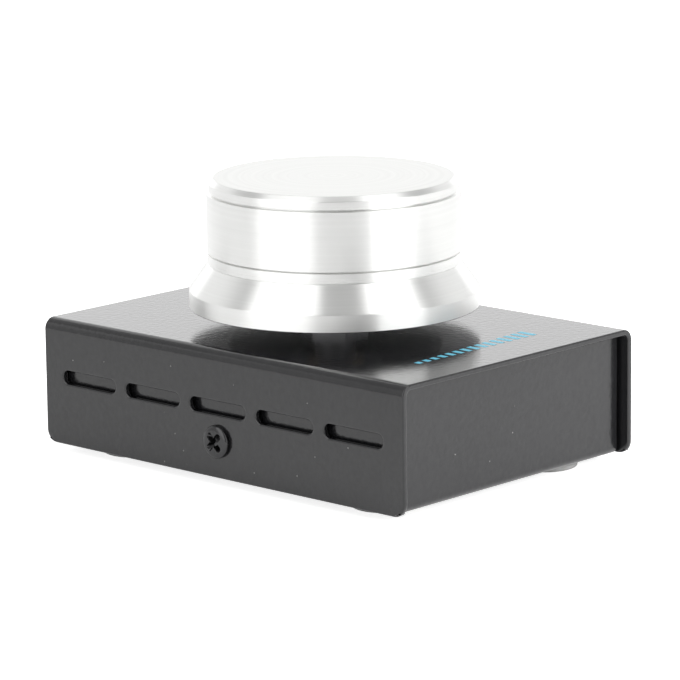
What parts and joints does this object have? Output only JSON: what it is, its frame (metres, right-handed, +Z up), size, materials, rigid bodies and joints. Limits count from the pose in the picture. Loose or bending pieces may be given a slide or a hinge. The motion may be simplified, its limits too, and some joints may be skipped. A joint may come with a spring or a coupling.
{
  "type": "usb volume knob",
  "caption": "Desktop volume control: a turned metal push-and-turn knob over a black folded sheet-metal case with side vents, rubber feet and a rear data socket.",
  "frame": {"origin": "on the table under the middle of the case, at the undersides of the feet", "axes": "+Z up along the knob's axis, +Y towards the rear panel with the data socket, +X to the right when the front panel faces the user"},
  "size_m": [0.0606, 0.084, 0.0493],
  "materials": {
    "powder_coat": "black powder coat with a fine texture",
    "turned_aluminium": "bright turned metal with fine turning lines",
    "foot_rubber": "soft grey rubber",
    "black_screw": "black zinc plating",
    "plated_steel": "bright zinc plating",
    "spring_metal": "rolled phosphor bronze",
    "brass": "machined brass",
    "gold_plate": "thin gold plating",
    "dark_moulding": "moulded plastic",
    "pale_moulding": "moulded plastic",
    "board_laminate": "green solder mask over glass laminate",
    "ceramic": "fired ceramic",
    "print_ink": "screen-printed blue ink"
  },
  "bodies": {
    "housing": {"top_cover": "powder_coat", "bottom_tray": "powder_coat", "foot_front_left": "foot_rubber", "foot_front_right": "foot_rubber", "foot_rear_left": "foot_rubber", "foot_rear_right": "foot_rubber", "cover_screws": "black_screw", "clinch_nuts": "plated_steel", "encoder_frame": "plated_steel", "encoder_nut": "plated_steel", "lock_washer": "plated_steel", "encoder_body": "dark_moulding", "detent_spring": "spring_metal", "encoder_terminals": "plated_steel", "switch_dome": "plated_steel", "circuit_board": "board_laminate", "board_standoffs": "brass", "board_screws": "plated_steel", "socket_shell": "plated_steel", "socket_insulator": "pale_moulding", "socket_contacts": "gold_plate", "controller_chip": "dark_moulding", "chip_leads": "plated_steel", "crystal": "plated_steel", "supply_capacitor": "plated_steel", "ceramic_capacitors": "ceramic", "chip_resistors": "dark_moulding"},
    "rotor_disc": {"encoder_rotor": "pale_moulding"},
    "knob_group": {"knob": "turned_aluminium", "knob_insert": "brass", "encoder_shaft": "plated_steel"},
    "plunger": {"switch_plunger": "dark_moulding"}
  },
  "joints": [
    {"name": "knob_turn", "type": "hinge", "parent": "housing", "child": "rotor_disc", "pos_m": [0, 0, 0.0199], "axis": [0, 0, 1], "continuous": true},
    {"name": "knob_press", "type": "slide", "parent": "rotor_disc", "child": "knob_group", "axis": [0, 0, 1], "range_m": [-0.0005, 0], "stiffness_N_per_m": 2000, "springref_m": 0.0015, "deforming": ["switch_dome"]},
    {"name": "plunger_press", "type": "slide", "parent": "housing", "child": "plunger", "axis": [0, 0, 1], "range_m": [-0.0005, 0]}
  ],
  "couplings": [
    {"joint": "plunger_press", "follows": "knob_press", "ratio": 1}
  ]
}
